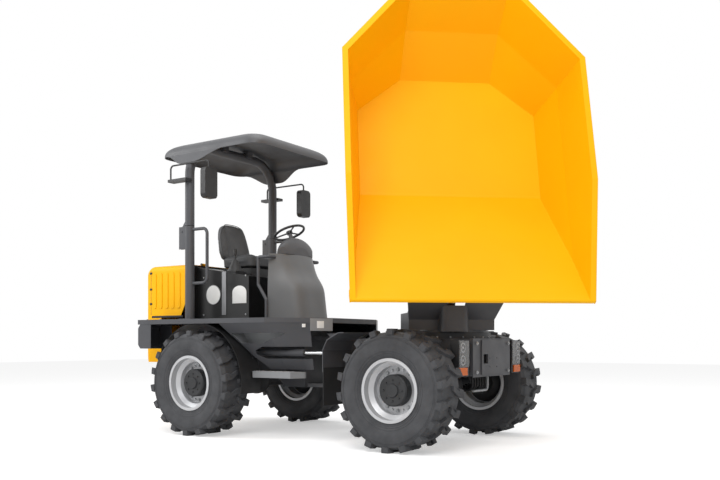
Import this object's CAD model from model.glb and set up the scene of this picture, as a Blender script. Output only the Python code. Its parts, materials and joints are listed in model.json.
import json
import math

import bmesh
import bpy
from mathutils import Matrix, Vector


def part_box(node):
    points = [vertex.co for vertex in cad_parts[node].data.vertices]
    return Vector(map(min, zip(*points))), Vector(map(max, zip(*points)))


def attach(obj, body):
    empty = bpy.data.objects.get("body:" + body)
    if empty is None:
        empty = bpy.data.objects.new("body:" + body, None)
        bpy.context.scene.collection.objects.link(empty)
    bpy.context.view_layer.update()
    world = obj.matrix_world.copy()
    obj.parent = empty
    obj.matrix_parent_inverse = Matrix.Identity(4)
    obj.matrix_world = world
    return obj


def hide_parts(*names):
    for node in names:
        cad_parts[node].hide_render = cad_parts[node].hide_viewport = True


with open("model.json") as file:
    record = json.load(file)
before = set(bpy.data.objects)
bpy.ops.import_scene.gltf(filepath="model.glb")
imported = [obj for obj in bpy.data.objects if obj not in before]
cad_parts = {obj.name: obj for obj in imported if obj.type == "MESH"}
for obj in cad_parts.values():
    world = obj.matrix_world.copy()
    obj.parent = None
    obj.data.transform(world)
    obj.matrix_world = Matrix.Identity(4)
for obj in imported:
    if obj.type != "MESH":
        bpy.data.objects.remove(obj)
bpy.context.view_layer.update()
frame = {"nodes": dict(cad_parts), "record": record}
nodes = frame["nodes"]
print("frame loaded:", len(nodes), "CAD nodes")


# materials

def linearColour(code):
    # sRGB hex to the linear values that Blender's sockets take
    channels = [int(code[i:i + 2], 16) / 255 for i in (1, 3, 5)]
    return tuple(c / 12.92 if c <= 0.04045 else ((c + 0.055) / 1.055) ** 2.4 for c in channels) + (1.0,)


class Graph:
    # a material's node tree with short ways to add and join nodes
    def __init__(self, name):
        self.material = bpy.data.materials.new(name)
        self.material.use_nodes = True
        self.tree = self.material.node_tree
        self.shader = self.tree.nodes["Principled BSDF"]
        self.place = self.add("ShaderNodeTexCoord").outputs["Object"]

    def add(self, kind, **settings):
        node = self.tree.nodes.new(kind)
        for key, value in settings.items():
            setattr(node, key, value)
        return node

    def join(self, start, end):
        self.tree.links.new(start, end)

    def noise(self, size, detail=3.0, roughness=0.5, place=None):
        # size is the pattern's size on the object in metres
        node = self.add("ShaderNodeTexNoise")
        node.inputs["Scale"].default_value = 1 / size
        node.inputs["Detail"].default_value = detail
        node.inputs["Roughness"].default_value = roughness
        self.join(place or self.place, node.inputs["Vector"])
        return node.outputs["Fac"]

    def ramp(self, source, stops):
        node = self.add("ShaderNodeValToRGB")
        elements = node.color_ramp.elements
        while len(elements) < len(stops):
            elements.new(0.5)
        for element, (position, colour) in zip(elements, stops):
            element.position = position
            element.color = colour
        self.join(source, node.inputs["Fac"])
        return node.outputs["Color"]

    def spread(self, source, low, high, start=0.3, end=0.7):
        # a value that runs from low to high as the source goes from start to end
        node = self.add("ShaderNodeMapRange")
        for key, value in (("From Min", start), ("From Max", end), ("To Min", low), ("To Max", high)):
            node.inputs[key].default_value = value
        self.join(source, node.inputs["Value"])
        return node.outputs["Result"]

    def mixed(self, factor, first, second):
        node = self.add("ShaderNodeMix", data_type="RGBA")
        self.join(factor, node.inputs["Factor"])
        for socket, colour in (("A", first), ("B", second)):
            target = [s for s in node.inputs if s.name == socket and s.type == "RGBA"][0]
            if isinstance(colour, tuple):
                target.default_value = colour
            else:
                self.join(colour, target)
        return [s for s in node.outputs if s.type == "RGBA"][0]

    def sum(self, first, second, operation="ADD"):
        node = self.add("ShaderNodeMath", operation=operation)
        for socket, value in ((node.inputs[0], first), (node.inputs[1], second)):
            if isinstance(value, float):
                socket.default_value = value
            else:
                self.join(value, socket)
        return node.outputs[0]

    def relief(self, height, depth, strength=1.0, edge=0.0):
        # bump of the given depth in metres, over edges rounded by the given radius
        bump = self.add("ShaderNodeBump")
        bump.inputs["Strength"].default_value = strength
        bump.inputs["Distance"].default_value = depth
        self.join(height, bump.inputs["Height"])
        if edge:
            bevel = self.add("ShaderNodeBevel", samples=4)
            bevel.inputs["Radius"].default_value = edge
            self.join(bevel.outputs["Normal"], bump.inputs["Normal"])
        self.join(bump.outputs["Normal"], self.shader.inputs["Normal"])

    def finish(self, colour=None, roughness=None, metallic=0.0, coat=0.0, coatRoughness=0.1):
        if colour is not None:
            if isinstance(colour, tuple):
                self.shader.inputs["Base Color"].default_value = colour
            else:
                self.join(colour, self.shader.inputs["Base Color"])
        if roughness is not None:
            if isinstance(roughness, float):
                self.shader.inputs["Roughness"].default_value = roughness
            else:
                self.join(roughness, self.shader.inputs["Roughness"])
        self.shader.inputs["Metallic"].default_value = metallic
        self.shader.inputs["Coat Weight"].default_value = coat
        self.shader.inputs["Coat Roughness"].default_value = coatRoughness
        return self.material


def sprayedPaint(name, look):
    # powder coat: slight drift of tone, fine orange peel, soft wear of the gloss
    g = Graph(name)
    drift = g.noise(look["driftSize"], 4.0)
    base = g.mixed(g.spread(drift, 0.0, 1.0), linearColour(look["colour"]), linearColour(look["shade"]))
    peel = g.noise(look["peelSize"], 2.0)
    scuff = g.noise(look["scuffSize"], 6.0, 0.65)
    gloss = g.spread(scuff, look["roughness"][0], look["roughness"][1])
    g.relief(peel, look["peelDepth"], look.get("peelStrength", 0.35), look["edge"])
    return g.finish(base, gloss, look.get("metallic", 0.0), look.get("coat", 0.0), 0.12)


yellowPaint = sprayedPaint("yellow paint", {
    "colour": "#FFBE00", "shade": "#FFB800", "driftSize": 0.9, "peelSize": 0.0035, "peelDepth": 0.0003,
    "scuffSize": 0.22, "roughness": (0.46, 0.56), "edge": 0.004, "coat": 0.0,
})
yellowPaint.node_tree.nodes["Principled BSDF"].inputs["Specular IOR Level"].default_value = 0.2
darkPaint = sprayedPaint("dark grey paint", {
    "colour": "#4B4C50", "shade": "#434448", "driftSize": 0.45, "peelSize": 0.004, "peelDepth": 0.0004,
    "scuffSize": 0.16, "roughness": (0.42, 0.56), "edge": 0.004, "coat": 0.0,
})
blackPaint = sprayedPaint("black paint", {
    "colour": "#09090A", "shade": "#0E0E0F", "driftSize": 0.4, "peelSize": 0.004, "peelDepth": 0.0003,
    "scuffSize": 0.14, "roughness": (0.30, 0.44), "edge": 0.003, "coat": 0.1,
})
silverPaint = sprayedPaint("silver wheel paint", {
    "colour": "#C9CACC", "shade": "#BFC0C3", "driftSize": 0.25, "peelSize": 0.003, "peelDepth": 0.0002,
    "scuffSize": 0.08, "roughness": (0.34, 0.46), "edge": 0.003, "metallic": 0.35,
})
lightPaint = sprayedPaint("light grey paint", {
    "colour": "#8E9092", "shade": "#85878A", "driftSize": 0.3, "peelSize": 0.004, "peelDepth": 0.0003,
    "scuffSize": 0.1, "roughness": (0.40, 0.52), "edge": 0.003,
})


def castHousing(name, look):
    # painted casting: coarse sand texture with darker hollows
    g = Graph(name)
    grain = g.noise(look["grain"], 8.0, 0.6)
    stain = g.noise(look["stain"], 5.0)
    tone = g.mixed(g.spread(stain, 0.0, 1.0), linearColour(look["colour"]), linearColour(look["shade"]))
    g.relief(grain, look["depth"], 0.6, look["edge"])
    return g.finish(tone, g.spread(grain, *look["roughness"]))


castGrey = castHousing("painted casting", {
    "colour": "#2E2F31", "shade": "#232426", "grain": 0.006, "stain": 0.12, "depth": 0.0012, "edge": 0.004,
    "roughness": (0.45, 0.62),
})


def tyreRubber(name, look):
    # matt carbon rubber with fine mould texture and a dusty bloom
    g = Graph(name)
    bloom = g.noise(look["bloom"], 5.0, 0.6)
    tone = g.mixed(g.spread(bloom, 0.0, 1.0), linearColour(look["colour"]), linearColour(look["shade"]))
    pores = g.noise(look["pores"], 4.0)
    g.relief(pores, look["depth"], 0.5, look["edge"])
    return g.finish(tone, g.spread(bloom, *look["roughness"]))


tyreBlack = tyreRubber("tyre rubber", {
    "colour": "#47484B", "shade": "#3A3B3E", "bloom": 0.16, "pores": 0.004, "depth": 0.0008, "edge": 0.005,
    "roughness": (0.62, 0.8),
})
flapRubber = tyreRubber("moulded rubber", {
    "colour": "#1D1D1E", "shade": "#252526", "bloom": 0.2, "pores": 0.003, "depth": 0.0005, "edge": 0.002,
    "roughness": (0.6, 0.75),
})


def grainedPlastic(name, look):
    # moulded plastic with a leather-like grain
    g = Graph(name)
    cells = g.add("ShaderNodeTexVoronoi", feature="DISTANCE_TO_EDGE")
    cells.inputs["Scale"].default_value = 1 / look["grain"]
    g.join(g.place, cells.inputs["Vector"])
    drift = g.noise(look["drift"], 4.0)
    tone = g.mixed(g.spread(drift, 0.0, 1.0), linearColour(look["colour"]), linearColour(look["shade"]))
    g.relief(g.spread(cells.outputs["Distance"], 0.0, 1.0, 0.0, 0.25), look["depth"], 0.4, look["edge"])
    return g.finish(tone, g.spread(g.noise(look["drift"] * 0.3, 5.0), *look["roughness"]))


greyPlastic = grainedPlastic("grey moulded cover", {
    "colour": "#67696B", "shade": "#606264", "grain": 0.004, "drift": 0.5, "depth": 0.0003, "edge": 0.008,
    "roughness": (0.42, 0.52),
})
darkPlastic = grainedPlastic("dark moulded roof", {
    "colour": "#545558", "shade": "#4D4E51", "grain": 0.004, "drift": 0.5, "depth": 0.0003, "edge": 0.006,
    "roughness": (0.44, 0.56),
})
blackPlastic = grainedPlastic("black moulded plastic", {
    "colour": "#1C1C1D", "shade": "#232324", "grain": 0.003, "drift": 0.2, "depth": 0.0002, "edge": 0.002,
    "roughness": (0.38, 0.5),
})


def seatVinyl():
    look = {"colour": "#4A4B4D", "shade": "#424345", "weave": 0.0022, "drift": 0.15}
    g = Graph("seat vinyl")
    drift = g.noise(look["drift"], 4.0)
    tone = g.mixed(g.spread(drift, 0.0, 1.0), linearColour(look["colour"]), linearColour(look["shade"]))
    cells = g.add("ShaderNodeTexVoronoi")
    cells.inputs["Scale"].default_value = 1 / look["weave"]
    g.join(g.place, cells.inputs["Vector"])
    g.relief(cells.outputs["Distance"], 0.0004, 0.5)
    return g.finish(tone, g.spread(drift, 0.5, 0.62))


def hardChrome():
    g = Graph("hard chrome")
    lines = g.noise(0.01, 6.0)
    g.relief(lines, 0.00005, 0.2)
    return g.finish(linearColour("#D6D8DA"), g.spread(lines, 0.12, 0.2), 1.0)


def mirrorGlass():
    g = Graph("mirror glass")
    g.relief(g.noise(0.08, 2.0), 0.0001, 0.15)
    return g.finish(linearColour("#C9CDD0"), 0.06, 1.0)


def lampLens(name, colour, transmission):
    g = Graph(name)
    flutes = g.noise(0.012, 2.0)
    g.relief(flutes, 0.0006, 0.3)
    g.shader.inputs["Transmission Weight"].default_value = transmission
    g.shader.inputs["IOR"].default_value = 1.45
    return g.finish(linearColour(colour), 0.12)


seatCover = seatVinyl()
chrome = hardChrome()
mirrorFace = mirrorGlass()
clearLens = lampLens("clear lens", "#E9ECEE", 0.85)
amberLens = lampLens("amber lens", "#FF7A12", 0.35)

finishes = {
    "yellow_paint": yellowPaint, "dark_paint": darkPaint, "light_paint": lightPaint, "black_paint": blackPaint,
    "silver_paint": silverPaint, "cast_grey": castGrey, "tyre": tyreBlack, "rubber": flapRubber,
    "grey_plastic": greyPlastic, "dark_plastic": darkPlastic, "black_plastic": blackPlastic,
    "seat_vinyl": seatCover, "chrome": chrome, "mirror": mirrorFace, "clear_lens": clearLens,
    "amber_lens": amberLens,
}
slots = {entry["node"]: entry["material_slot"] for entry in frame["record"]["subparts"]}
for name, piece in nodes.items():
    piece.data.materials.clear()
    piece.data.materials.append(finishes[slots[name]])
print("finishes given to the CAD nodes")


# places and small helpers

record = frame["record"]
joints = {joint["name"]: joint for joint in record["behaviour"]["joints"]}
pinPlace = Vector(joints["articulation"]["pos_m"])
pinHeight = 0.75  # of the articulation's middle above the floor


def at(x, y, z):
    # metres ahead and left of the articulation's pin, and above the floor
    return Vector((pinPlace.x + x, pinPlace.y + y, pinPlace.z - pinHeight + z))


def newPiece(name, mesh, material, body, smooth=True):
    piece = bpy.data.objects.new(name, mesh)
    bpy.context.scene.collection.objects.link(piece)
    if not mesh.materials:
        mesh.materials.append(material)
    for face in mesh.polygons:
        face.use_smooth = smooth
    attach(piece, body)
    return piece


def sharpen(mesh, angle=35.0):
    # hard edges where faces meet at more than the angle
    work = bmesh.new()
    work.from_mesh(mesh)
    bmesh.ops.recalc_face_normals(work, faces=work.faces)
    for edge in work.edges:
        if len(edge.link_faces) == 2:
            edge.smooth = edge.calc_face_angle(0.0) < math.radians(angle)
    work.to_mesh(mesh)
    work.free()


def lathe(profile, axis, centre, segments=48):
    # mesh turned about the axis; the profile gives (along the axis, radius), closed on itself
    axis = Vector(axis).normalized()
    side = axis.orthogonal().normalized()
    up = axis.cross(side)
    verts, faces, count = [], [], len(profile)
    for turn in range(segments):
        angle = 2 * math.pi * turn / segments
        outward = side * math.cos(angle) + up * math.sin(angle)
        verts += [centre + axis * along + outward * radius for along, radius in profile]
    for turn in range(segments):
        after = (turn + 1) % segments
        for k in range(count):
            faces.append((turn * count + k, turn * count + (k + 1) % count,
                          after * count + (k + 1) % count, after * count + k))
    mesh = bpy.data.meshes.new("turned")
    mesh.from_pydata(verts, [], faces)
    work = bmesh.new()
    work.from_mesh(mesh)
    bmesh.ops.remove_doubles(work, verts=work.verts, dist=1e-5)
    work.to_mesh(mesh)
    work.free()
    sharpen(mesh)
    return mesh


def plainMesh(holder):
    # the object's shape with its modifiers, as a mesh of its own
    bpy.context.view_layer.update()
    return bpy.data.meshes.new_from_object(holder.evaluated_get(bpy.context.evaluated_depsgraph_get()))


def joined(name, meshes):
    # one mesh from several
    work = bmesh.new()
    for mesh in meshes:
        work.from_mesh(mesh)
    result = bpy.data.meshes.new(name)
    work.to_mesh(result)
    work.free()
    for mesh in meshes:
        bpy.data.meshes.remove(mesh)
    return result


def softBox(low, high, radius, segments=3):
    # box with rounded edges
    work = bmesh.new()
    bmesh.ops.create_cube(work, size=1.0)
    size = [h - l for l, h in zip(low, high)]
    for vert in work.verts:
        vert.co = Vector([l + (c + 0.5) * s for l, c, s in zip(low, vert.co, size)])
    bmesh.ops.bevel(work, geom=work.edges[:] + work.verts[:], offset=min(radius, min(size) * 0.49),
                    segments=segments, profile=0.5, affect="EDGES")
    mesh = bpy.data.meshes.new("soft box")
    work.to_mesh(mesh)
    work.free()
    sharpen(mesh)
    return mesh


def plate(outline, origin, across, up, thickness, radius=0.0008):
    # flat plate from an outline in the plane of two directions, thickened along their cross product
    across, up = Vector(across), Vector(up)
    normal = across.cross(up).normalized()
    work = bmesh.new()
    ring = [work.verts.new(origin + across * a + up * b) for a, b in outline]
    face = work.faces.new(ring)
    grown = bmesh.ops.extrude_face_region(work, geom=[face])["geom"]
    bmesh.ops.translate(work, verts=[g for g in grown if isinstance(g, bmesh.types.BMVert)],
                        vec=normal * thickness)
    bmesh.ops.recalc_face_normals(work, faces=work.faces)
    if radius:
        rim = [e for e in work.edges if abs((e.verts[1].co - e.verts[0].co).normalized().dot(normal)) < 0.5]
        bmesh.ops.bevel(work, geom=rim, offset=radius, segments=2, profile=0.5, affect="EDGES")
    mesh = bpy.data.meshes.new("plate")
    work.to_mesh(mesh)
    work.free()
    sharpen(mesh)
    return mesh


def walled(name, work, thickness, angle):
    # the surface in work, thickened inwards, with hard edges past the angle
    mesh = bpy.data.meshes.new(name)
    work.to_mesh(mesh)
    work.free()
    holder = bpy.data.objects.new(name, mesh)
    bpy.context.scene.collection.objects.link(holder)
    wall = holder.modifiers.new("wall", "SOLIDIFY")
    wall.thickness = thickness
    wall.offset = -1.0
    solid = plainMesh(holder)
    bpy.data.objects.remove(holder)
    sharpen(solid, angle)
    return solid


def roundedOutline(width, height, radius, steps=6):
    points = []
    for cx, cy, start in ((1, 1, 0), (-1, 1, 90), (-1, -1, 180), (1, -1, 270)):
        for k in range(steps + 1):
            angle = math.radians(start + 90 * k / steps)
            points.append((cx * (width / 2 - radius) + radius * math.cos(angle),
                           cy * (height / 2 - radius) + radius * math.sin(angle)))
    return points


def tube(points, radius, resolution=6, bend=0.02):
    # round pipe through the points, with rounded corners
    curve = bpy.data.curves.new("pipe", "CURVE")
    curve.dimensions = "3D"
    curve.bevel_depth = radius
    curve.bevel_resolution = resolution
    curve.use_fill_caps = True
    spline = curve.splines.new("BEZIER")
    path = []
    for k, point in enumerate(points):
        if 0 < k < len(points) - 1:
            before = (points[k - 1] - point)
            after = (points[k + 1] - point)
            reach = min(bend, before.length * 0.45, after.length * 0.45)
            path.append((point + before.normalized() * reach, point))
            path.append((point + after.normalized() * reach, point))
        else:
            path.append((point, None))
    spline.bezier_points.add(len(path) - 1)
    for k, (place, corner) in enumerate(path):
        knot = spline.bezier_points[k]
        knot.co = place
        knot.handle_left_type = knot.handle_right_type = "VECTOR" if corner is None else "FREE"
    for k, (place, corner) in enumerate(path):
        knot = spline.bezier_points[k]
        if corner is not None:
            knot.handle_left = knot.handle_right = place
            toward = place + (corner - place) * 0.55
            if k + 1 < len(path) and path[k + 1][1] is corner:
                knot.handle_right = toward
            else:
                knot.handle_left = toward
    holder = bpy.data.objects.new("pipe", curve)
    bpy.context.scene.collection.objects.link(holder)
    mesh = plainMesh(holder)
    bpy.data.objects.remove(holder)
    bpy.data.curves.remove(curve)
    return mesh


# repeats by Geometry Nodes

def baked(name, source, tree, settings, material):
    # runs a node tree on the source mesh and keeps the result as a plain mesh
    holder = bpy.data.objects.new(name, source)
    bpy.context.scene.collection.objects.link(holder)
    modifier = holder.modifiers.new("repeat", "NODES")
    modifier.node_group = tree
    sockets = {item.name: item.identifier for item in tree.interface.items_tree if item.in_out == "INPUT"}
    for key, value in settings.items():
        modifier[sockets[key]] = value
    modifier[sockets["Finish"]] = material
    mesh = plainMesh(holder)
    bpy.data.objects.remove(holder)
    bpy.data.meshes.remove(source)
    return mesh


def treeWith(name, inputs):
    # node group with the named inputs, and short ways to add and join its nodes
    tree = bpy.data.node_groups.new(name, "GeometryNodeTree")
    tree.interface.new_socket("Geometry", in_out="INPUT", socket_type="NodeSocketGeometry")
    for key, kind, value in inputs:
        socket = tree.interface.new_socket(key, in_out="INPUT", socket_type=kind)
        if value is not None:
            socket.default_value = value
    tree.interface.new_socket("Finish", in_out="INPUT", socket_type="NodeSocketMaterial")
    tree.interface.new_socket("Geometry", in_out="OUTPUT", socket_type="NodeSocketGeometry")
    start = tree.nodes.new("NodeGroupInput")
    end = tree.nodes.new("NodeGroupOutput")
    real = tree.nodes.new("GeometryNodeRealizeInstances")
    dress = tree.nodes.new("GeometryNodeSetMaterial")
    tree.links.new(real.outputs[0], dress.inputs["Geometry"])
    tree.links.new(start.outputs["Finish"], dress.inputs["Material"])
    tree.links.new(dress.outputs[0], end.inputs[0])
    return tree, start, real


def spinTree():
    # copies of the source mesh turned about Y, evenly round the full circle
    tree, start, real = treeWith("spin copies", [
        ("Count", "NodeSocketInt", 10), ("Start angle", "NodeSocketFloat", 0.0)])
    make, link = tree.nodes.new, tree.links.new
    points = make("GeometryNodePoints")
    link(start.outputs["Count"], points.inputs["Count"])
    index = make("GeometryNodeInputIndex")
    share = make("ShaderNodeMath")
    share.operation = "DIVIDE"
    share.inputs[0].default_value = 2 * math.pi
    link(start.outputs["Count"], share.inputs[1])
    angle = make("ShaderNodeMath")
    angle.operation = "MULTIPLY_ADD"
    link(index.outputs[0], angle.inputs[0])
    link(share.outputs[0], angle.inputs[1])
    link(start.outputs["Start angle"], angle.inputs[2])
    turn = make("ShaderNodeCombineXYZ")
    link(angle.outputs[0], turn.inputs["Y"])
    copies = make("GeometryNodeInstanceOnPoints")
    link(points.outputs[0], copies.inputs["Points"])
    link(start.outputs["Geometry"], copies.inputs["Instance"])
    link(turn.outputs[0], copies.inputs["Rotation"])
    link(copies.outputs[0], real.inputs[0])
    return tree


def boltTree():
    # hexagon heads on washers at the source's points, each turned to its own facing
    tree, start, real = treeWith("bolt heads", [
        ("Head radius", "NodeSocketFloat", 0.009), ("Head height", "NodeSocketFloat", 0.006),
        ("Washer radius", "NodeSocketFloat", 0.012), ("Washer height", "NodeSocketFloat", 0.002)])
    make, link = tree.nodes.new, tree.links.new
    join = make("GeometryNodeJoinGeometry")
    shapes = ((6, "Head radius", "Head height", True), (20, "Washer radius", "Washer height", False))
    for sides, radius, depth, lift in shapes:
        disc = make("GeometryNodeMeshCylinder")
        disc.inputs["Vertices"].default_value = sides
        link(start.outputs[radius], disc.inputs["Radius"])
        link(start.outputs[depth], disc.inputs["Depth"])
        rise = make("ShaderNodeMath")
        rise.operation = "MULTIPLY_ADD"
        link(start.outputs[depth], rise.inputs[0])
        rise.inputs[1].default_value = 0.5
        if lift:
            link(start.outputs["Washer height"], rise.inputs[2])
        else:
            rise.inputs[2].default_value = 0.0
        offset = make("ShaderNodeCombineXYZ")
        link(rise.outputs[0], offset.inputs["Z"])
        place = make("GeometryNodeTransform")
        link(disc.outputs["Mesh"], place.inputs["Geometry"])
        link(offset.outputs[0], place.inputs["Translation"])
        link(place.outputs[0], join.inputs[0])
    facing = make("GeometryNodeInputNamedAttribute")
    facing.data_type = "FLOAT_VECTOR"
    facing.inputs["Name"].default_value = "facing"
    turn = make("FunctionNodeAlignRotationToVector")
    turn.axis = "Z"
    link(facing.outputs["Attribute"], turn.inputs["Vector"])
    copies = make("GeometryNodeInstanceOnPoints")
    link(start.outputs["Geometry"], copies.inputs["Points"])
    link(join.outputs[0], copies.inputs["Instance"])
    link(turn.outputs["Rotation"], copies.inputs["Rotation"])
    link(copies.outputs[0], real.inputs[0])
    return tree


spinCopies = spinTree()
boltHeads = boltTree()


def bolts(name, places, body, material, head=0.009, height=0.006, washer=0.013):
    # places is a list of (point, facing)
    source = bpy.data.meshes.new(name + " places")
    source.from_pydata([point for point, facing in places], [], [])
    facings = source.attributes.new("facing", "FLOAT_VECTOR", "POINT")
    for k, (point, facing) in enumerate(places):
        facings.data[k].vector = facing
    mesh = baked(name, source, boltHeads, {"Head radius": head, "Head height": height,
                                          "Washer radius": washer, "Washer height": 0.002}, material)
    return newPiece(name, mesh, material, body, smooth=False)


# finishes of the small pieces

boltZinc = castHousing("zinc plated steel", {
    "colour": "#B9BBBD", "shade": "#9C9EA0", "grain": 0.003, "stain": 0.03, "depth": 0.0003, "edge": 0.001,
    "roughness": (0.32, 0.46),
})
blankWhite = sprayedPaint("blank white film", {
    "colour": "#ECECEA", "shade": "#E4E4E2", "driftSize": 0.1, "peelSize": 0.004, "peelDepth": 0.0001,
    "scuffSize": 0.05, "roughness": (0.35, 0.45), "edge": 0.0005,
})
stripGrey = sprayedPaint("brushed grey strip", {
    "colour": "#8F9093", "shade": "#87888B", "driftSize": 0.08, "peelSize": 0.002, "peelDepth": 0.0001,
    "scuffSize": 0.03, "roughness": (0.34, 0.44), "edge": 0.0005, "metallic": 0.3,
})
print("helpers, node trees and small finishes ready")


# wheels: tread shoulders, sidewall rings, nuts

def dressWheels():
    look = {
        "barCount": 18, "barSpan": (0.112, 0.197), "barAlong": (-0.022, 0.050), "barTop": 0.5345,
        "barFoot": 0.482, "ringRadii": (0.300, 0.318, 0.340, 0.452, 0.463), "ringHeight": 0.0026,
        "nutCircle": 0.180, "nutCount": 10, "capBolts": 8, "capCircle": 0.092,
    }
    arc = ((0.1645, 0.287), (0.2025, 0.395), (0.1921, 0.4835))  # across and radius of the sidewall
    (x1, y1), (x2, y2), (x3, y3) = arc
    d = 2 * (x1 * (y2 - y3) + x2 * (y3 - y1) + x3 * (y1 - y2))
    s1, s2, s3 = x1 * x1 + y1 * y1, x2 * x2 + y2 * y2, x3 * x3 + y3 * y3
    cx = (s1 * (y2 - y3) + s2 * (y3 - y1) + s3 * (y1 - y2)) / d
    cy = (s1 * (x3 - x2) + s2 * (x1 - x3) + s3 * (x2 - x1)) / d
    bulge = math.hypot(x1 - cx, y1 - cy)

    def wall(radius):
        # half width of the sidewall at a radius
        return cx + math.sqrt(bulge ** 2 - (radius - cy) ** 2)

    def bar(side):
        # block that thickens one tread bar out to the shoulder, in the wheel's own frame
        (a0, a1), (t0, t1) = look["barSpan"], look["barAlong"]
        top, foot = look["barTop"], look["barFoot"]
        outline = [(a0, t0 + 0.004), (a0, t0 + 0.040), (a1, t1 + 0.004), (a1, t0 + 0.016), (a0 + 0.03, t0)]
        low = [(a + (0.006 if a > a0 else -0.004), t) for a, t in outline]
        work = bmesh.new()
        rings = []
        for points, radius in ((low, foot), (outline, top - 0.006), (
                [(a - (0.006 if a >= a1 - 0.001 else 0), t * 0.96 + 0.0008) for a, t in outline], top)):
            rings.append([work.verts.new((-t, side * min(a, 0.2), radius)) for a, t in points])
        for lower, upper in zip(rings, rings[1:]):
            for k in range(len(outline)):
                m = (k + 1) % len(outline)
                work.faces.new((lower[k], lower[m], upper[m], upper[k]))
        work.faces.new(rings[0])
        work.faces.new(rings[-1])
        bmesh.ops.recalc_face_normals(work, faces=work.faces)
        mesh = bpy.data.meshes.new("bar")
        work.to_mesh(mesh)
        work.free()
        return mesh

    for place in ("rear_left", "rear_right", "front_left", "front_right"):
        body = "wheel_" + place
        low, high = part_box("tyre_" + place)
        centre = (low + high) / 2
        centre.z = joints["roll_" + place]["pos_m"][2]
        outer = 1 if place.endswith("left") else -1
        turned = Matrix.Translation(centre) @ Matrix.Rotation(0 if outer > 0 else math.pi, 4, "Z")
        # tread
        halves = []
        for side in (1, -1):
            start = 0.0 if side > 0 else math.pi / look["barCount"]
            halves.append(baked("tread", bar(side), spinCopies,
                                {"Count": look["barCount"], "Start angle": start}, tyreBlack))
        mesh = joined("treadShoulders_" + place, halves)
        mesh.transform(turned)
        mesh.materials.clear()
        newPiece("treadShoulders_" + place, mesh, tyreBlack, body, smooth=False)
        # rings moulded on both sidewalls
        rings = []
        for side in (1, -1):
            for radius in look["ringRadii"]:
                h = look["ringHeight"]
                section = ((-h * 1.4, -0.003), (-h * 0.7, h * 0.8), (0, h), (h * 0.7, h * 0.8), (h * 1.4, -0.003))
                profile = [(side * (wall(radius + r) + a), radius + r) for r, a in section]
                rings.append(lathe(profile, (0, 1, 0), Vector((0, 0, 0)), 96))
        mesh = joined("sidewallRings_" + place, rings)
        mesh.transform(turned)
        newPiece("sidewallRings_" + place, mesh, tyreBlack, body)
        # wheel nuts on the disc and bolts on the hub's cap
        nuts = []
        for k in range(look["nutCount"]):
            angle = 2 * math.pi * (k + 0.5) / look["nutCount"]
            nuts.append((centre + Vector((look["nutCircle"] * math.cos(angle), outer * 0.018,
                                          look["nutCircle"] * math.sin(angle))), Vector((0, outer, 0))))
        bolts("wheelNuts_" + place, nuts, body, boltZinc, 0.0155, 0.016, 0.019)
        caps = []
        for k in range(look["capBolts"]):
            angle = 2 * math.pi * k / look["capBolts"]
            caps.append((centre + Vector((look["capCircle"] * math.cos(angle), outer * 0.112,
                                          look["capCircle"] * math.sin(angle))), Vector((0, outer, 0))))
        bolts("hubBolts_" + place, caps, body, castGrey, 0.0085, 0.006, 0.010)


dressWheels()
print("wheels dressed")


# seat cushions, swelled as cloth with a small cap

def cushion(name, outline, lower, upper, look):
    # closed pad between two height functions over an outline, inflated and smoothed
    work = bmesh.new()
    faces = []
    rows, columns = look["rows"], look["columns"]
    for level in (lower, upper):
        grid = [[work.verts.new(level(*outline(2 * i / columns - 1, 2 * j / rows - 1)))
                 for i in range(columns + 1)] for j in range(rows + 1)]
        faces.append(grid)
        for j in range(rows):
            for i in range(columns):
                work.faces.new((grid[j][i], grid[j][i + 1], grid[j + 1][i + 1], grid[j + 1][i]))
    edge = [(0, i) for i in range(columns)] + [(j, columns) for j in range(rows)]
    edge += [(rows, i) for i in range(columns, 0, -1)] + [(j, 0) for j in range(rows, 0, -1)]
    for k, (j, i) in enumerate(edge):
        n, m = edge[(k + 1) % len(edge)]
        work.faces.new((faces[0][j][i], faces[0][n][m], faces[1][n][m], faces[1][j][i]))
    bmesh.ops.recalc_face_normals(work, faces=work.faces)
    mesh = bpy.data.meshes.new(name)
    work.to_mesh(mesh)
    work.free()
    pad = bpy.data.objects.new(name, mesh)
    bpy.context.scene.collection.objects.link(pad)
    remesh = pad.modifiers.new("even", "REMESH")
    remesh.mode = "VOXEL"
    remesh.voxel_size = look["voxel"]
    even = plainMesh(pad)
    pad.modifiers.clear()
    pad.data = even
    before = [vert.co.copy() for vert in even.vertices]
    cloth = pad.modifiers.new("cloth", "CLOTH")
    cloth.settings.use_pressure = True
    cloth.settings.uniform_pressure_force = 4.0
    cloth.settings.effector_weights.gravity = 0.0
    for step in range(1, 21):
        bpy.context.scene.frame_set(step)
    blown = plainMesh(pad)
    pad.modifiers.clear()
    for vert, old, new in zip(even.vertices, before, blown.vertices):
        move = new.co - old
        if move.length > look["cap"]:
            move *= look["cap"] / move.length
        vert.co = old + move
    bpy.data.meshes.remove(blown)
    bpy.context.scene.frame_set(1)
    smooth = pad.modifiers.new("smooth", "SMOOTH")
    smooth.iterations = 6
    divide = pad.modifiers.new("divide", "SUBSURF")
    divide.levels = divide.render_levels = 1
    done = plainMesh(pad)
    pad.modifiers.clear()
    pad.data = done
    for face in done.polygons:
        face.use_smooth = True
    done.materials.clear()
    done.materials.append(seatCover)
    return pad


def squircle(u, v, power):
    # square grid to a rounded outline
    reach = max(abs(u), abs(v))
    if reach == 0:
        return 0.0, 0.0
    length = (abs(u) ** power + abs(v) ** power) ** (1 / power)
    return u * reach / length, v * reach / length


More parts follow.
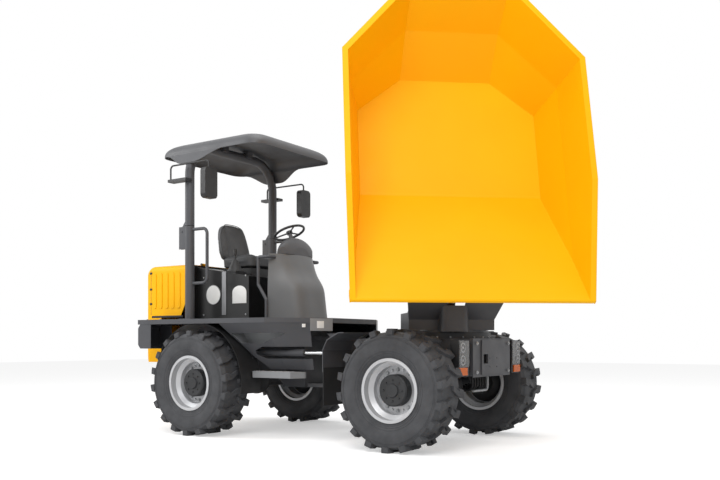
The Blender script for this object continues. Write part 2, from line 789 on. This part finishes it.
def seat():
    look = {"rows": 22, "columns": 22, "voxel": 0.006, "cap": 0.008}
    low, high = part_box("seat_pads")
    middle = (low.y + high.y) / 2
    half = (high.y - low.y) / 2 - 0.012

    def baseOutline(u, v):
        a, b = squircle(u, v, 5.0)
        return a, b

    def baseX(a):
        # from the cushion's rear edge to its front edge
        return low.x + 0.09 + (a + 1) / 2 * 0.47

    def baseLower(a, b):
        return Vector((baseX(a), middle + b * (half - 0.012), low.z + 0.014 + 0.012 * a * a))

    def baseUpper(a, b):
        bolster = 0.012 * math.exp(-((abs(b) - 0.72) / 0.2) ** 2)
        crown = 0.075 - 0.030 * abs(a) ** 4 - 0.022 * abs(b) ** 6 + bolster
        return Vector((baseX(a), middle + b * half, low.z + 0.055 + crown + 0.02 * (a > 0) * a))

    base = cushion("seatBase", baseOutline, baseLower, baseUpper, look)

    rise = high.z - low.z - 0.085

    def backOutline(u, v):
        a, b = squircle(u, v, 3.2)
        return a, b

    def backPlace(a, b, front):
        # a across, b up; narrower at the top
        up = (b + 1) / 2
        width = half * (1.0 - 0.20 * up ** 2.2)
        lean = low.x + 0.135 - 0.105 * up
        thick = (0.085 - 0.02 * up) * (1 - 0.35 * max(abs(a), abs(b)) ** 6)
        if front:
            dish = 0.022 * math.exp(-((abs(a) - 0.78) / 0.22) ** 2) - 0.010 * math.exp(-(a / 0.5) ** 2)
            x = lean + thick * 0.5 + dish
        else:
            x = lean - thick * 0.5
        return Vector((max(x, low.x + 0.008), middle + a * width, low.z + 0.075 + up * rise))

    back = cushion("seatBack", backOutline, lambda a, b: backPlace(a, b, False),
                   lambda a, b: backPlace(a, b, True), look)
    for pad in (base, back):
        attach(pad, "rear_frame")
    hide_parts("seat_pads")
    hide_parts("seat_pads")
    # piping round the back's edge
    ring = []
    for k in range(64):
        angle = 2 * math.pi * k / 64
        reach = 1 / max(abs(math.cos(angle)), abs(math.sin(angle)))
        a, b = backOutline(math.cos(angle) * reach, math.sin(angle) * reach)
        rear = backPlace(a, b, False)
        front = backPlace(a, b, True)
        ring.append(rear * 0.15 + front * 0.85)
    curve = bpy.data.curves.new("piping", "CURVE")
    curve.dimensions = "3D"
    curve.bevel_depth = 0.0042
    curve.bevel_resolution = 3
    line = curve.splines.new("NURBS")
    line.points.add(len(ring) - 1)
    for knot, point in zip(line.points, ring):
        knot.co = (*point, 1)
    line.use_cyclic_u = True
    holder = bpy.data.objects.new("piping", curve)
    bpy.context.scene.collection.objects.link(holder)
    mesh = plainMesh(holder)
    bpy.data.objects.remove(holder)
    newPiece("seatPiping", mesh, seatCover, "rear_frame")


seat()
print("seat padded")


# smooth cover in front of the driver

def between(levels, z, column, window=0.06):
    # column's value at a height, with the bends between levels eased over the window
    def straight(height):
        for lower, upper in zip(levels, levels[1:]):
            if height <= upper[0] or upper is levels[-1]:
                share = (height - lower[0]) / (upper[0] - lower[0])
                return lower[column] + share * (upper[column] - lower[column])
    reach = max(0.0, min(window, z - levels[0][0], levels[-1][0] - z))
    steps = 9
    return sum(straight(z + reach * (2 * k / (steps - 1) - 1)) for k in range(steps)) / steps


def cowlCover():
    look = {"rows": 30, "wall": 0.004, "corner": 0.135, "cornerSteps": 10, "sideSteps": 5, "frontSteps": 5}
    levels = ((1.195, -0.336, 0.229, -0.700, 0.400), (1.550, -0.386, 0.229, -0.700, 0.400),
              (1.690, -0.491, 0.214, -0.702, 0.390), (1.890, -0.559, 0.199, -0.705, 0.372))

    def outline(z):
        front, frontHalf, rear, rearHalf = [between(levels, z, column) for column in (1, 2, 3, 4)]
        corner = Vector((front, frontHalf))
        back = Vector((rear, rearHalf))
        reach = min(look["corner"], (corner - back).length * 0.8)
        start = corner + (back - corner).normalized() * reach
        end = corner + Vector((0, -1)) * min(reach, frontHalf * 0.9)
        points = [back.lerp(start, k / look["sideSteps"]) for k in range(look["sideSteps"])]
        for k in range(look["cornerSteps"] + 1):
            t = k / look["cornerSteps"]
            points.append(start * (1 - t) ** 2 + corner * (2 * t * (1 - t)) + end * t ** 2)
        points += [Vector((end.x, end.y * (1 - 2 * k / look["frontSteps"])))
                   for k in range(1, look["frontSteps"])]
        mirrored = [Vector((p.x, -p.y)) for p in points[:look["sideSteps"] + look["cornerSteps"] + 1]]
        return points + mirrored[::-1]

    work = bmesh.new()
    grid = []
    for row in range(look["rows"] + 1):
        z = levels[0][0] + (levels[-1][0] - levels[0][0]) * row / look["rows"]
        grid.append([work.verts.new(at(p.x, p.y, z)) for p in outline(z)])
    for lower, upper in zip(grid, grid[1:]):
        for k in range(len(lower) - 1):
            work.faces.new((lower[k], upper[k], upper[k + 1], lower[k + 1]))
    bmesh.ops.recalc_face_normals(work, faces=work.faces)
    middle = at(-0.6, 0, 1.5)
    probe = work.faces[0]
    if probe.normal.dot(probe.calc_center_median() - middle) < 0:
        bmesh.ops.reverse_faces(work, faces=work.faces)
    solid = walled("cowlCover", work, look["wall"], 60)
    piece = newPiece("cowlCover", solid, greyPlastic, "rear_frame")
    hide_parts("cowl")


cowlCover()
print("console cover smoothed")


# blank signs, strip and screws on the seat box

def signs():
    look = {"thick": 0.0015, "disc": (-1.397, 1.469, 0.107), "rim": 0.006,
            "strip": (-1.2395, 1.481, 0.061, 0.468), "card": (-1.0185, 1.4615, 0.199, 0.187), "face": -0.4842}
    right, up = (1, 0, 0), (0, 0, 1)  # seen from the machine's right side

    def onBox(x, z):
        return at(x, look["face"], z)

    x, z, radius = look["disc"]
    turns = [2 * math.pi * k / 64 for k in range(64)]
    circle = [(radius * math.cos(turn), radius * math.sin(turn)) for turn in turns]
    newPiece("signDisc", plate(circle, onBox(x, z), right, up, look["thick"], 0.0006), blankWhite,
             "rear_frame")
    rim = [(0.0, radius - look["rim"]), (0.0, radius), (0.0022, radius), (0.0030, radius - look["rim"] / 2),
           (0.0022, radius - look["rim"])]
    newPiece("signRim", lathe(rim, (0, -1, 0), onBox(x, z), 64), stripGrey,
             "rear_frame")
    x, z, width, height = look["strip"]
    strip = plate(roundedOutline(width, height, 0.004), onBox(x, z), right, up, look["thick"], 0.0005)
    newPiece("greyStrip", strip, stripGrey, "rear_frame")
    x, z, width, height = look["card"]
    outline = [(-width / 2, -height / 2), (width / 2, -height / 2)]
    outline += [(width / 2 * math.cos(math.pi * k / 24), height / 2 - 0.07 + 0.07 * math.sin(math.pi * k / 24))
                for k in range(25)]
    newPiece("blankCard", plate(outline, onBox(x, z), right, up, look["thick"], 0.0005), blankWhite,
             "rear_frame")
    bolts("boxScrews", [(onBox(px, pz), Vector((0, -1, 0))) for px in (-1.54, -0.93) for pz in (1.25, 1.66)],
          "rear_frame", boltZinc, 0.006, 0.004, 0.009)


signs()
print("blank signs placed")


# hood seam, latches and foot trim, on both sides

def hoodTrim():
    look = {"seam": -2.250, "seamWidth": 0.006, "seamHeights": (1.26, 1.76), "face": 0.5995,
            "latches": (1.731, 1.550, 1.386), "foot": (-2.237, -1.742), "footHeight": 1.238}
    for side, name in ((-1, "right"), (1, "left")):
        face = side * look["face"]
        low, high = sorted((face - side * 0.003, face + side * 0.0012))
        bottom, top = look["seamHeights"]
        seam = softBox(at(look["seam"] - look["seamWidth"] / 2, low, bottom),
                       at(look["seam"] + look["seamWidth"] / 2, high, top), 0.0008, 1)
        newPiece("hoodSeam_" + name, seam, flapRubber, "hood", smooth=False)
        meshes = []
        for z in look["latches"]:
            low, high = sorted((face - side * 0.002, face + side * 0.006))
            meshes.append(softBox(at(look["seam"] - 0.020, low, z - 0.011),
                                  at(look["seam"] + 0.020, high, z + 0.011), 0.004, 3))
        newPiece("hoodLatches_" + name, joined("latches", meshes), blackPlastic, "hood")
        low, high = sorted((face - side * 0.003, face + side * 0.005))
        trim = softBox(at(look["foot"][0], low, look["footHeight"] - 0.012),
                       at(look["foot"][1], high, look["footHeight"] + 0.012), 0.004, 3)
        newPiece("hoodFootTrim_" + name, trim, flapRubber, "hood")


hoodTrim()
print("hood trimmed")


# ringed gaiter at the foot of the lever, on the right of the seat

def leverGaiter():
    look = {"place": (-1.205, -0.350), "foot": 1.695, "folds": 6, "foldHeight": 0.016,
            "wide": 0.050, "narrow": 0.022}
    profile = [(0.0, 0.0)]
    for k in range(look["folds"]):
        share = k / (look["folds"] - 1)
        radius = look["wide"] + (look["narrow"] - look["wide"]) * share
        base = k * look["foldHeight"]
        profile += [(base, radius - 0.007), (base + look["foldHeight"] * 0.35, radius),
                    (base + look["foldHeight"] * 0.65, radius), (base + look["foldHeight"] * 0.98, radius - 0.007)]
    top = look["folds"] * look["foldHeight"]
    profile += [(top, 0.0)]
    centre = at(look["place"][0], look["place"][1], look["foot"])
    mesh = lathe(profile, (0, 0, 1), centre, 32)
    newPiece("leverGaiter", mesh, flapRubber, "rear_frame")


leverGaiter()


# bolts on the front frame and deck, and blank labels at the deck's corner

def frontBolts():
    # heads on the front plate, round the slewing ring, and on the deck's rear corners
    plateLow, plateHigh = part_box("front_plate")
    face = plateHigh.x
    centreY = (plateLow.y + plateHigh.y) / 2
    centreZ = (plateLow.z + plateHigh.z) / 2
    heads = [(Vector((face, centreY + y, centreZ + z)), Vector((1, 0, 0)))
             for y in (-0.34, 0.34) for z in (-0.13, 0.13)]
    bolts("frontPlateBolts", heads, "front_frame", boltZinc, 0.011, 0.008, 0.016)
    ringLow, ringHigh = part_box("slewing_ring")
    ringCount, ringLift = 24, 0.012
    centre = (ringLow + ringHigh) / 2
    radius = (ringHigh.x - ringLow.x) / 2
    foot = Vector((centre.x, centre.y, ringLow.z + ringLift))
    heads = []
    for k in range(ringCount):
        angle = 2 * math.pi * (k + 0.5) / ringCount
        direction = Vector((math.cos(angle), math.sin(angle), 0))
        heads.append((foot + direction * radius, direction))
    bolts("ringBolts", heads, "front_frame", boltZinc, 0.007, 0.004, 0.009)
    heads = [(at(x, side * 0.92, 1.195), Vector((0, 0, 1))) for x in (-1.95, -1.75) for side in (1, -1)]
    bolts("deckBolts", heads, "rear_frame", boltZinc, 0.009, 0.006, 0.014)


frontBolts()


def deckLabels():
    # small blank labels on the slanted panels at the deck's right front corner
    look = {"skirt": ((-0.300, -0.925), (0.020, -0.610), 0.86, 1.118, 0.034, 0.034),
            "corner": ((0.020, -0.610), (0.140, -0.400), 0.45, 1.128, 0.075, 0.070)}
    for name, (start, end, share, z, width, height) in look.items():
        start, end = Vector((*start, 0)), Vector((*end, 0))
        along = (end - start).normalized()
        outward = Vector((along.y, -along.x, 0))
        spot = start.lerp(end, share)
        origin = at(spot.x, spot.y, z) + outward * 0.0052
        label = plate(roundedOutline(width, height, 0.003), origin, along, (0, 0, 1), 0.0012, 0.0004)
        newPiece("blankLabel_" + name, label, blankWhite, "rear_frame")


deckLabels()
print("bolts and labels placed")


# hydraulic hoses under the front plate

def hoses():
    look = {"radius": 0.0105, "places": (0.02, 0.075, 0.13, 0.185, 0.24, 0.295), "rise": (0.49, 0.632)}
    meshes = []
    for k, y in enumerate(look["places"]):
        low = look["rise"][0] + 0.006 * (k % 3)
        path = [at(1.46, y, look["rise"][1]), at(1.47, y, low + 0.03), at(1.40, y + 0.01, low),
                at(1.28, y + 0.012, low + 0.04)]
        meshes.append(tube(path, look["radius"], 4, 0.05))
    newPiece("frontHoses", joined("hoses", meshes), flapRubber, "front_frame")
    pipe = tube([at(1.485, -0.008, 0.494), at(1.485, 0.31, 0.494), at(1.485, 0.312, 0.634)], 0.012, 4, 0.04)
    newPiece("frontPipe", pipe, boltZinc, "front_frame")


hoses()
print("hoses laid")


# lamps: a ring and a bulb on each clear lens

def lamps():
    low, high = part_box("lamp_lenses")
    bowls = []
    for side in (1, -1):
        edge = high.y if side > 0 else low.y
        for z in (low.z + 0.06, high.z - 0.06):
            centre = Vector((high.x + 0.0012, edge - side * 0.06, z))
            ring = [(0.0, 0.044), (0.003, 0.044), (0.0045, 0.040), (0.003, 0.036), (0.0, 0.036)]
            bowls.append(lathe(ring, (1, 0, 0), centre - Vector((0.001, 0, 0)), 40))
            bulb = [(0.0, 0.0), (0.0, 0.012), (0.003, 0.010), (0.0045, 0.0)]
            bowls.append(lathe(bulb, (1, 0, 0), centre - Vector((0.001, 0, 0)), 24))
    newPiece("lampRings", joined("rings", bowls), boltZinc, "front_frame")


lamps()
print("lamps detailed")


# smooth roof shell over the hoop

def roofShell():
    look = {"middle": -1.335, "wall": 0.006, "around": 120, "rows": 26, "droopRows": 7,
            "droop": ((-1.930, -1.640), (-1.450, -1.100)), "low": 2.884, "lowHalf": 0.7325}
    levels = ((3.002, 0.712, 0.663, 0.140), (3.055, 0.712, 0.660, 0.140), (3.120, 0.648, 0.600, 0.150),
              (3.165, 0.500, 0.450, 0.150), (3.183, 0.250, 0.200, 0.100))

    def ring(halfLength, halfWidth, corner):
        # rounded rectangle sampled evenly by direction
        points = []
        for k in range(look["around"]):
            angle = 2 * math.pi * k / look["around"]
            x, y = math.cos(angle), math.sin(angle)
            reach = min(halfLength / max(abs(x), 1e-9), halfWidth / max(abs(y), 1e-9))
            px, py = x * reach, y * reach
            cx, cy = halfLength - corner, halfWidth - corner
            if abs(px) > cx and abs(py) > cy:
                # meet the corner's arc
                a, b, c = 1.0, -2 * (abs(x) * cx + abs(y) * cy), cx * cx + cy * cy - corner * corner
                root = max(b * b - 4 * a * c, 0.0)
                length = (-b + math.sqrt(root)) / 2
                px, py = x * length, y * length
            points.append((px, py))
        return points

    def ease(t):
        t = min(max(t, 0.0), 1.0)
        return t * t * (3 - 2 * t)

    def droop(x):
        (a, b), (c, d) = look["droop"]
        return min(ease((x - a) / (b - a)), ease((d - x) / (d - c)))

    work = bmesh.new()
    grid = []
    # drooping skirt, from its lowest edge up to the rim
    base = ring(*[between(levels, levels[0][0], column) for column in (1, 2, 3)])
    for row in range(look["droopRows"]):
        share = 1 - row / look["droopRows"]
        line = []
        for px, py in base:
            x = look["middle"] + px
            side = ease((abs(py) - 0.50) / 0.14)
            amount = droop(x) * side * share
            y = py + math.copysign(amount * (look["lowHalf"] - abs(py)), py) if side > 0 else py
            z = levels[0][0] - 0.0005 * share - amount * (levels[0][0] - look["low"])
            line.append(work.verts.new(at(x, y, z)))
        grid.append(line)
    for row in range(look["rows"] + 1):
        share = row / look["rows"]
        z = levels[0][0] + (levels[-1][0] - levels[0][0]) * math.sin(share * math.pi / 2) ** 1.15
        sizes = [between(levels, z, column, 0.03) for column in (1, 2, 3)]
        grid.append([work.verts.new(at(look["middle"] + px, py, z)) for px, py in ring(*sizes)])
    for lower, upper in zip(grid, grid[1:]):
        for k in range(look["around"]):
            m = (k + 1) % look["around"]
            work.faces.new((lower[k], lower[m], upper[m], upper[k]))
    top = work.verts.new(at(look["middle"], 0, 3.1845))
    for k in range(look["around"]):
        work.faces.new((grid[-1][k], grid[-1][(k + 1) % look["around"]], top))
    bmesh.ops.recalc_face_normals(work, faces=work.faces)
    if top.link_faces[0].normal.z < 0:
        bmesh.ops.reverse_faces(work, faces=work.faces)
    solid = walled("roofShell", work, look["wall"], 62)
    piece = newPiece("roofShell", solid, darkPlastic, "roll_over_frame")
    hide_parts("canopy")


roofShell()
print("roof smoothed")


# tread plates on the lower steps

def stepPlates():
    look = {"outline": ((-0.700, -0.765), (-0.120, -0.765), (-0.055, -0.650), (-0.700, -0.650)), "top": 0.6622}
    for side, name in ((1, "right"), (-1, "left")):
        points = [(x, y * side) for x, y in look["outline"]]
        studs = []
        origin = at(0, 0, look["top"])
        mesh = plate(points if side > 0 else points[::-1], origin, (1, 0, 0), (0, 1, 0), 0.0018, 0.0006)
        for k in range(12):
            for j in range(3):
                x = -0.672 + 0.048 * k
                y = side * (-0.745 + 0.036 * j)
                bar = softBox((-0.011, -0.0028, 0), (0.011, 0.0028, 0.0022), 0.001, 1)
                turn = math.radians(45 if (k + j) % 2 else -45)
                place = at(x, y, look["top"] + 0.0018)
                bar.transform(Matrix.Translation(place) @ Matrix.Rotation(turn, 4, "Z"))
                studs.append(bar)
        newPiece("stepPlate_" + name, joined("step plate", [mesh] + studs), silverPaint,
                 "rear_frame", smooth=False)


stepPlates()
print("steps plated")


# floor, backdrop, light and camera

def studioWhite(name):
    # shows as plain white to the eye and in gloss, and keeps the machine's shadow
    material = bpy.data.materials.new(name)
    material.use_nodes = True
    tree = material.node_tree
    shader = tree.nodes["Principled BSDF"]
    shader.inputs["Base Color"].default_value = linearColour("#F2F2F2")
    shader.inputs["Roughness"].default_value = 0.9
    shader.inputs["Specular IOR Level"].default_value = 0.0
    glow = tree.nodes.new("ShaderNodeEmission")
    glow.inputs["Strength"].default_value = 0.42
    path = tree.nodes.new("ShaderNodeLightPath")
    unlit = tree.nodes.new("ShaderNodeEmission")
    unlit.inputs["Strength"].default_value = 0.0
    eye = tree.nodes.new("ShaderNodeMixShader")
    tree.links.new(path.outputs["Is Camera Ray"], eye.inputs["Fac"])
    tree.links.new(unlit.outputs[0], eye.inputs[1])
    tree.links.new(glow.outputs[0], eye.inputs[2])
    both = tree.nodes.new("ShaderNodeAddShader")
    tree.links.new(shader.outputs[0], both.inputs[0])
    tree.links.new(eye.outputs[0], both.inputs[1])
    tree.links.new(both.outputs[0], tree.nodes["Material Output"].inputs["Surface"])
    return material


def studio():
    sizes = {"floor": 60.0}
    scene = bpy.context.scene
    mesh = bpy.data.meshes.new("floor")
    half = sizes["floor"] / 2
    corners = [(-half, -half, 0), (half, -half, 0), (half, half, 0), (-half, half, 0)]
    mesh.from_pydata(corners, [], [(0, 1, 2, 3)])
    floor = bpy.data.objects.new("floor", mesh)
    mesh.materials.append(studioWhite("studio floor"))
    scene.collection.objects.link(floor)

    world = bpy.data.worlds.new("studio")
    scene.world = world
    world.use_nodes = True
    tree = world.node_tree
    out = tree.nodes["World Output"]
    soft = tree.nodes["Background"]
    soft.inputs["Color"].default_value = (1, 1, 1, 1)
    soft.inputs["Strength"].default_value = 0.56
    seen = tree.nodes.new("ShaderNodeBackground")
    seen.inputs["Color"].default_value = (1, 1, 1, 1)
    seen.inputs["Strength"].default_value = 1.0
    path = tree.nodes.new("ShaderNodeLightPath")
    through = tree.nodes.new("ShaderNodeMath")
    through.operation = "MAXIMUM"
    tree.links.new(path.outputs["Is Glossy Ray"], through.inputs[0])
    tree.links.new(path.outputs["Is Transmission Ray"], through.inputs[1])
    either = tree.nodes.new("ShaderNodeMath")
    either.operation = "MAXIMUM"
    tree.links.new(path.outputs["Is Camera Ray"], either.inputs[0])
    tree.links.new(through.outputs[0], either.inputs[1])
    blend = tree.nodes.new("ShaderNodeMixShader")
    tree.links.new(either.outputs[0], blend.inputs["Fac"])
    tree.links.new(soft.outputs[0], blend.inputs[1])
    tree.links.new(seen.outputs[0], blend.inputs[2])
    tree.links.new(blend.outputs[0], out.inputs["Surface"])

    lamps = {  # name: place, aim, size, power
        "key": ((3.5, -7.0, 7.5), (0.4, 0.0, 1.4), 5.0, 430.0),
        "side": ((-6.5, -4.0, 5.0), (-0.6, 0.0, 1.2), 4.0, 190.0),
        "top": ((0.0, 0.5, 9.0), (0.0, 0.0, 0.0), 6.0, 240.0),
    }
    for name, (place, aim, size, power) in lamps.items():
        data = bpy.data.lights.new(name, "AREA")
        data.shape = "SQUARE"
        data.size = size
        data.energy = power
        lamp = bpy.data.objects.new(name, data)
        lamp.location = place
        lamp.rotation_euler = (Vector(aim) - Vector(place)).to_track_quat("-Z", "Y").to_euler()
        scene.collection.objects.link(lamp)
    scene.view_settings.view_transform = "Standard"


def camera():
    view = {"place": (4.7594, -6.8141, 0.9611), "turn": 33.926, "lens": 41.49, "rise": 0.1409}
    data = bpy.data.cameras.new("camera")
    data.lens = view["lens"]
    data.sensor_width = 36.0
    data.shift_y = view["rise"]
    eye = bpy.data.objects.new("camera", data)
    eye.location = view["place"]
    eye.rotation_euler = (math.radians(90), 0, math.radians(view["turn"]))
    bpy.context.scene.collection.objects.link(eye)
    bpy.context.scene.camera = eye


studio()
camera()
print("studio ready")
